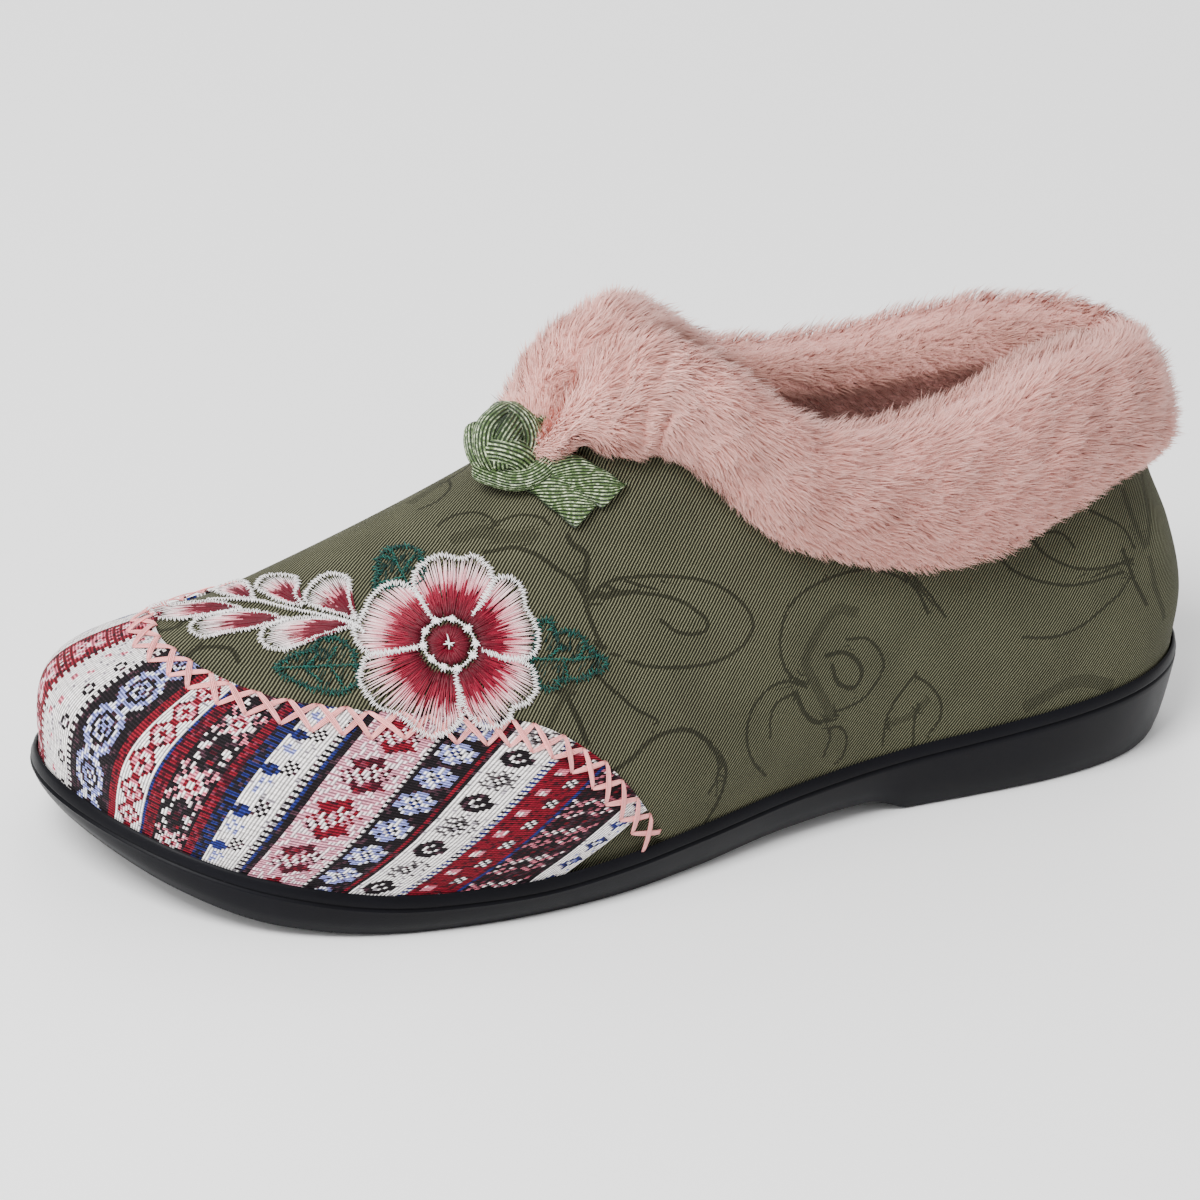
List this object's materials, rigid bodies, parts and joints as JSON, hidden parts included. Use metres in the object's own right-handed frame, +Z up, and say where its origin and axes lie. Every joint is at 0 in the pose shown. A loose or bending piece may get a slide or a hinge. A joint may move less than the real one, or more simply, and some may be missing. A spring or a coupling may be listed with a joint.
{
  "type": "shoe",
  "caption": "Left low-cut textile slipper-shoe with a plush fur collar, a cord frog closure at the throat, a woven cross-stitched toe cap and a low rubber cup sole",
  "frame": {"origin": "middle of the bounding box at the ground plane, under the sole", "axes": "+X from heel to toe, +Y to the wearer's left (the outer side of this left shoe), +Z up"},
  "size_m": [0.25, 0.091, 0.1032],
  "materials": {
    "sole_rubber": "satin",
    "insole_pile": "matte pile",
    "upper_twill": "matte twill with tone-on-tone jacquard",
    "cap_weave": "matte woven bands",
    "collar_fur": "soft plush",
    "frog_cord": "lustrous cord"
  },
  "bodies": {
    "root": {"outsole": "sole_rubber", "insole": "insole_pile", "upper": "upper_twill", "toe_cap": "cap_weave", "fur_collar": "collar_fur", "frog_loop": "frog_cord", "frog_button": "frog_cord"}
  },
  "joints": []
}
